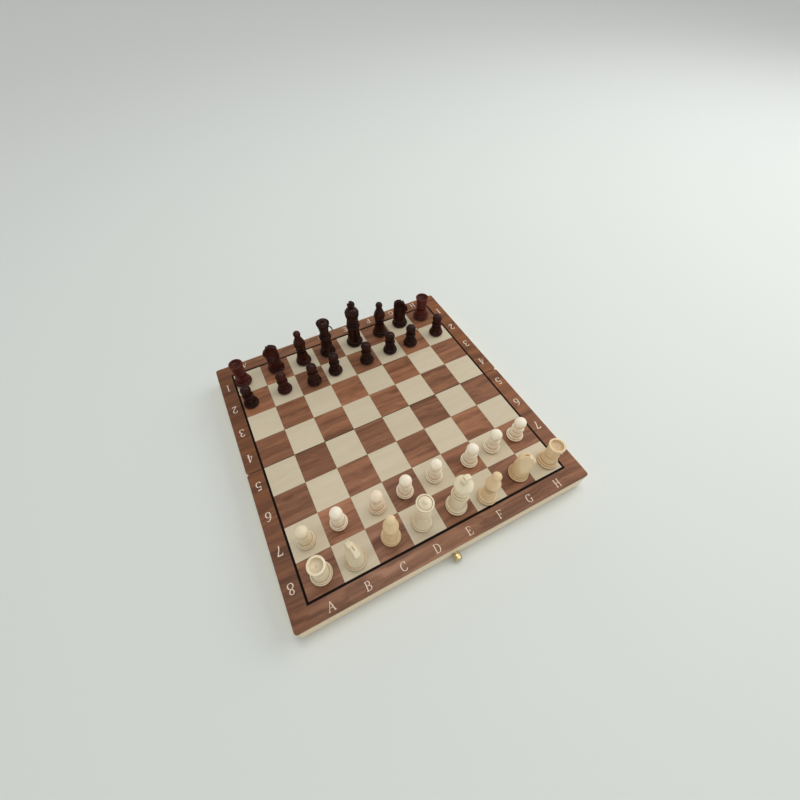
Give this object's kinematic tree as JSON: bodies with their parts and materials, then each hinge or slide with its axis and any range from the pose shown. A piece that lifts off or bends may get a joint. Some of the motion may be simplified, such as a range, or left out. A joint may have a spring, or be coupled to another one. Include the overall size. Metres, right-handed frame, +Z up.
{
  "type": "folding magnetic chess set",
  "caption": "Folding wooden chess board that closes into its own storage box, with hinges along the seam, a knob and loop clasp, and turned pieces that lift off.",
  "frame": {"origin": "middle of the footprint of the open board with its clasp knob, at table level, which is the underside of the hinge barrels", "axes": "+Z up out of the playing surface, +X along the files from A to H, +Y from rank 8 and the clasp knob towards rank 1 and the elastic loop"},
  "size_m": [0.3008, 0.3309, 0.0919],
  "materials": {
    "walnut_veneer": "satin varnish over straight grain",
    "maple_veneer": "satin varnish",
    "black_inlay": "dyed veneer strip",
    "sheet_steel": "bare",
    "pale_wood": "thin varnish",
    "lining_felt": "short felt",
    "hinge_brass": "pressed",
    "knob_brass": "polished",
    "elastic_cord": "braided",
    "light_piece_wood": "clear varnish",
    "dark_piece_wood": "dark stain and gloss varnish"
  },
  "bodies": {
    "near_half": {"near_border_veneer": "walnut_veneer", "near_line_inlay": "black_inlay", "near_dark_squares": "walnut_veneer", "near_light_squares": "maple_veneer", "near_steel_sheet": "sheet_steel", "near_top_panel": "pale_wood", "near_outer_rail": "pale_wood", "near_seam_rail": "pale_wood", "near_side_rails": "pale_wood", "near_felt_lining": "lining_felt", "near_hinge_leaves": "hinge_brass", "near_hinge_screws": "hinge_brass", "clasp_knob": "knob_brass", "hinge_pins": "hinge_brass"},
    "far_half": {"far_border_veneer": "walnut_veneer", "far_line_inlay": "black_inlay", "far_dark_squares": "walnut_veneer", "far_light_squares": "maple_veneer", "far_steel_sheet": "sheet_steel", "far_top_panel": "pale_wood", "far_outer_rail": "pale_wood", "far_seam_rail": "pale_wood", "far_side_rails": "pale_wood", "far_felt_lining": "lining_felt", "far_hinge_leaves": "hinge_brass", "far_hinge_screws": "hinge_brass", "elastic_loop": "elastic_cord"},
    "light_rook_a_body": {"light_rook_a": "light_piece_wood"},
    "light_knight_b_body": {"light_knight_b": "light_piece_wood"},
    "light_bishop_c_body": {"light_bishop_c": "light_piece_wood"},
    "light_queen_body": {"light_queen": "light_piece_wood"},
    "light_king_body": {"light_king": "light_piece_wood"},
    "light_bishop_f_body": {"light_bishop_f": "light_piece_wood"},
    "light_knight_g_body": {"light_knight_g": "light_piece_wood"},
    "light_rook_h_body": {"light_rook_h": "light_piece_wood"},
    "light_pawn_a_body": {"light_pawn_a": "light_piece_wood"},
    "light_pawn_b_body": {"light_pawn_b": "light_piece_wood"},
    "light_pawn_c_body": {"light_pawn_c": "light_piece_wood"},
    "light_pawn_d_body": {"light_pawn_d": "light_piece_wood"},
    "light_pawn_e_body": {"light_pawn_e": "light_piece_wood"},
    "light_pawn_f_body": {"light_pawn_f": "light_piece_wood"},
    "light_pawn_g_body": {"light_pawn_g": "light_piece_wood"},
    "light_pawn_h_body": {"light_pawn_h": "light_piece_wood"},
    "dark_rook_a_body": {"dark_rook_a": "dark_piece_wood"},
    "dark_knight_b_body": {"dark_knight_b": "dark_piece_wood"},
    "dark_bishop_c_body": {"dark_bishop_c": "dark_piece_wood"},
    "dark_queen_body": {"dark_queen": "dark_piece_wood"},
    "dark_king_body": {"dark_king": "dark_piece_wood"},
    "dark_bishop_f_body": {"dark_bishop_f": "dark_piece_wood"},
    "dark_knight_g_body": {"dark_knight_g": "dark_piece_wood"},
    "dark_rook_h_body": {"dark_rook_h": "dark_piece_wood"},
    "dark_pawn_a_body": {"dark_pawn_a": "dark_piece_wood"},
    "dark_pawn_b_body": {"dark_pawn_b": "dark_piece_wood"},
    "dark_pawn_c_body": {"dark_pawn_c": "dark_piece_wood"},
    "dark_pawn_d_body": {"dark_pawn_d": "dark_piece_wood"},
    "dark_pawn_e_body": {"dark_pawn_e": "dark_piece_wood"},
    "dark_pawn_f_body": {"dark_pawn_f": "dark_piece_wood"},
    "dark_pawn_g_body": {"dark_pawn_g": "dark_piece_wood"},
    "dark_pawn_h_body": {"dark_pawn_h": "dark_piece_wood"}
  },
  "joints": [
    {"name": "board_fold", "type": "hinge", "parent": "near_half", "child": "far_half", "pos_m": [0, 0.0036, 0.00125], "axis": [-1, 0, 0], "range_deg": [0, 180]},
    {"name": "light_rook_a_lift", "type": "slide", "parent": "near_half", "child": "light_rook_a_body", "axis": [0, 0, 1], "range_m": [0, 0.08]},
    {"name": "light_knight_b_lift", "type": "slide", "parent": "near_half", "child": "light_knight_b_body", "axis": [0, 0, 1], "range_m": [0, 0.08]},
    {"name": "light_bishop_c_lift", "type": "slide", "parent": "near_half", "child": "light_bishop_c_body", "axis": [0, 0, 1], "range_m": [0, 0.08]},
    {"name": "light_queen_lift", "type": "slide", "parent": "near_half", "child": "light_queen_body", "axis": [0, 0, 1], "range_m": [0, 0.08]},
    {"name": "light_king_lift", "type": "slide", "parent": "near_half", "child": "light_king_body", "axis": [0, 0, 1], "range_m": [0, 0.08]},
    {"name": "light_bishop_f_lift", "type": "slide", "parent": "near_half", "child": "light_bishop_f_body", "axis": [0, 0, 1], "range_m": [0, 0.08]},
    {"name": "light_knight_g_lift", "type": "slide", "parent": "near_half", "child": "light_knight_g_body", "axis": [0, 0, 1], "range_m": [0, 0.08]},
    {"name": "light_rook_h_lift", "type": "slide", "parent": "near_half", "child": "light_rook_h_body", "axis": [0, 0, 1], "range_m": [0, 0.08]},
    {"name": "light_pawn_a_lift", "type": "slide", "parent": "near_half", "child": "light_pawn_a_body", "axis": [0, 0, 1], "range_m": [0, 0.08]},
    {"name": "light_pawn_b_lift", "type": "slide", "parent": "near_half", "child": "light_pawn_b_body", "axis": [0, 0, 1], "range_m": [0, 0.08]},
    {"name": "light_pawn_c_lift", "type": "slide", "parent": "near_half", "child": "light_pawn_c_body", "axis": [0, 0, 1], "range_m": [0, 0.08]},
    {"name": "light_pawn_d_lift", "type": "slide", "parent": "near_half", "child": "light_pawn_d_body", "axis": [0, 0, 1], "range_m": [0, 0.08]},
    {"name": "light_pawn_e_lift", "type": "slide", "parent": "near_half", "child": "light_pawn_e_body", "axis": [0, 0, 1], "range_m": [0, 0.08]},
    {"name": "light_pawn_f_lift", "type": "slide", "parent": "near_half", "child": "light_pawn_f_body", "axis": [0, 0, 1], "range_m": [0, 0.08]},
    {"name": "light_pawn_g_lift", "type": "slide", "parent": "near_half", "child": "light_pawn_g_body", "axis": [0, 0, 1], "range_m": [0, 0.08]},
    {"name": "light_pawn_h_lift", "type": "slide", "parent": "near_half", "child": "light_pawn_h_body", "axis": [0, 0, 1], "range_m": [0, 0.08]},
    {"name": "dark_rook_a_lift", "type": "slide", "parent": "far_half", "child": "dark_rook_a_body", "axis": [0, 0, 1], "range_m": [0, 0.08]},
    {"name": "dark_knight_b_lift", "type": "slide", "parent": "far_half", "child": "dark_knight_b_body", "axis": [0, 0, 1], "range_m": [0, 0.08]},
    {"name": "dark_bishop_c_lift", "type": "slide", "parent": "far_half", "child": "dark_bishop_c_body", "axis": [0, 0, 1], "range_m": [0, 0.08]},
    {"name": "dark_queen_lift", "type": "slide", "parent": "far_half", "child": "dark_queen_body", "axis": [0, 0, 1], "range_m": [0, 0.08]},
    {"name": "dark_king_lift", "type": "slide", "parent": "far_half", "child": "dark_king_body", "axis": [0, 0, 1], "range_m": [0, 0.08]},
    {"name": "dark_bishop_f_lift", "type": "slide", "parent": "far_half", "child": "dark_bishop_f_body", "axis": [0, 0, 1], "range_m": [0, 0.08]},
    {"name": "dark_knight_g_lift", "type": "slide", "parent": "far_half", "child": "dark_knight_g_body", "axis": [0, 0, 1], "range_m": [0, 0.08]},
    {"name": "dark_rook_h_lift", "type": "slide", "parent": "far_half", "child": "dark_rook_h_body", "axis": [0, 0, 1], "range_m": [0, 0.08]},
    {"name": "dark_pawn_a_lift", "type": "slide", "parent": "far_half", "child": "dark_pawn_a_body", "axis": [0, 0, 1], "range_m": [0, 0.08]},
    {"name": "dark_pawn_b_lift", "type": "slide", "parent": "far_half", "child": "dark_pawn_b_body", "axis": [0, 0, 1], "range_m": [0, 0.08]},
    {"name": "dark_pawn_c_lift", "type": "slide", "parent": "far_half", "child": "dark_pawn_c_body", "axis": [0, 0, 1], "range_m": [0, 0.08]},
    {"name": "dark_pawn_d_lift", "type": "slide", "parent": "far_half", "child": "dark_pawn_d_body", "axis": [0, 0, 1], "range_m": [0, 0.08]},
    {"name": "dark_pawn_e_lift", "type": "slide", "parent": "far_half", "child": "dark_pawn_e_body", "axis": [0, 0, 1], "range_m": [0, 0.08]},
    {"name": "dark_pawn_f_lift", "type": "slide", "parent": "far_half", "child": "dark_pawn_f_body", "axis": [0, 0, 1], "range_m": [0, 0.08]},
    {"name": "dark_pawn_g_lift", "type": "slide", "parent": "far_half", "child": "dark_pawn_g_body", "axis": [0, 0, 1], "range_m": [0, 0.08]},
    {"name": "dark_pawn_h_lift", "type": "slide", "parent": "far_half", "child": "dark_pawn_h_body", "axis": [0, 0, 1], "range_m": [0, 0.08]}
  ]
}
